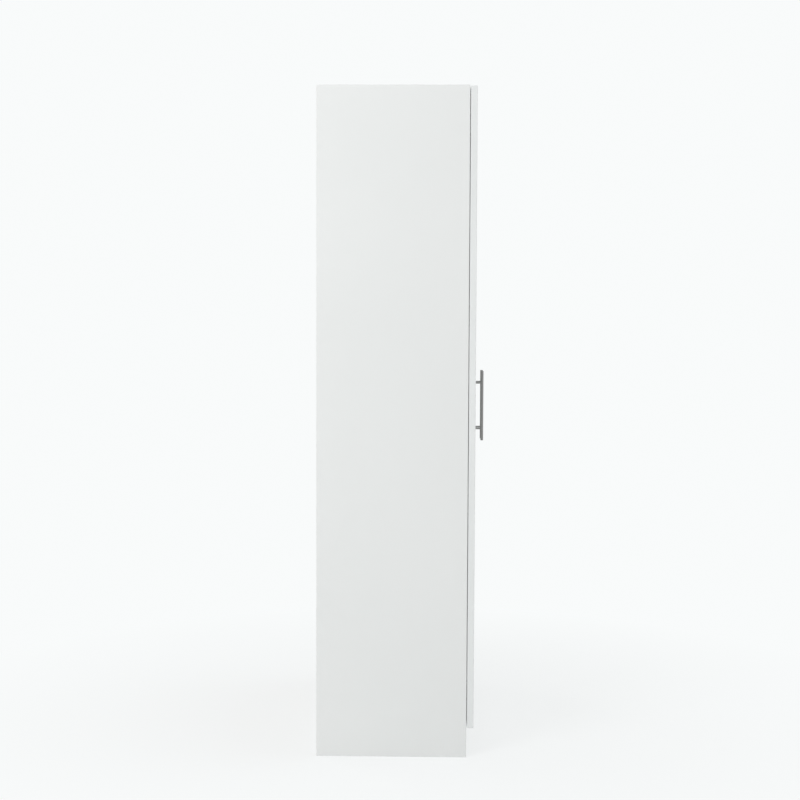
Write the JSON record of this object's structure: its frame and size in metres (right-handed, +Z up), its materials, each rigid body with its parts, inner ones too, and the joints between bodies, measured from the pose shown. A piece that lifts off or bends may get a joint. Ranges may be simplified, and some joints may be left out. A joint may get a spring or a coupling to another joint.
{
  "type": "wardrobe",
  "caption": "Tall white free-standing wardrobe with overlay doors on concealed hinges, slim bar handles, a hat shelf, a hanging rail and a lower shelf.",
  "frame": {"origin": "on the floor, under the middle of the outline of carcass, doors and handles", "axes": "+X to the right seen from the front, doors facing -Y, +Z up"},
  "size_m": [0.8, 0.457, 1.8],
  "materials": {
    "white_board": "satin white melamine on particle board",
    "edge_band": "satin white edge band",
    "hardboard": "white-coated hardboard, raw brown behind",
    "white_plastic": "matte",
    "brushed_handle": "brushed along the bar",
    "nickel_steel": "nickel-plated",
    "zinc_steel": "zinc-plated",
    "zinc_alloy": "die-cast",
    "chromed_tube": "polished",
    "beech": "raw",
    "clear_rubber": "clear, soft"
  },
  "bodies": {
    "carcass": {"back_joining_strip": "white_plastic", "bottom_panel": "white_board", "cam_bolts": "zinc_steel", "cam_covers": "white_plastic", "cam_locks": "zinc_alloy", "carcass_edging": "edge_band", "dowels": "beech", "front_kick_rail": "white_board", "hanging_rail": "chromed_tube", "hat_shelf": "white_board", "left_arm_screws": "zinc_steel", "left_back_panel": "hardboard", "left_hinge_arms": "nickel_steel", "left_hinge_plates": "nickel_steel", "left_plate_screws": "zinc_steel", "left_side_panel": "white_board", "lower_shelf": "white_board", "rail_socket_screws": "zinc_steel", "rail_sockets": "zinc_alloy", "rear_kick_rail": "white_board", "right_arm_screws": "zinc_steel", "right_back_panel": "hardboard", "right_hinge_arms": "nickel_steel", "right_hinge_plates": "nickel_steel", "right_plate_screws": "zinc_steel", "right_side_panel": "white_board", "shelf_pegs": "zinc_steel", "top_panel": "white_board", "wall_bracket_screws": "zinc_steel", "wall_brackets": "zinc_steel"},
    "left_door": {"left_cup_screws": "zinc_steel", "left_door_bumpers": "clear_rubber", "left_door_edging": "edge_band", "left_door_panel": "white_board", "left_handle_bar": "brushed_handle", "left_handle_posts": "brushed_handle", "left_handle_screws": "zinc_steel", "left_hinge_cups": "nickel_steel", "left_hinge_pins": "nickel_steel"},
    "right_door": {"right_cup_screws": "zinc_steel", "right_door_bumpers": "clear_rubber", "right_door_edging": "edge_band", "right_door_panel": "white_board", "right_handle_bar": "brushed_handle", "right_handle_posts": "brushed_handle", "right_handle_screws": "zinc_steel", "right_hinge_cups": "nickel_steel", "right_hinge_pins": "nickel_steel"}
  },
  "joints": [
    {"name": "left_door_hinge", "type": "hinge", "parent": "carcass", "child": "left_door", "pos_m": [-0.39272, -0.19, 0.939], "axis": [0, 0, -1], "range_deg": [0, 95]},
    {"name": "right_door_hinge", "type": "hinge", "parent": "carcass", "child": "right_door", "pos_m": [0.39272, -0.19, 0.939], "axis": [0, 0, 1], "range_deg": [0, 95]}
  ]
}
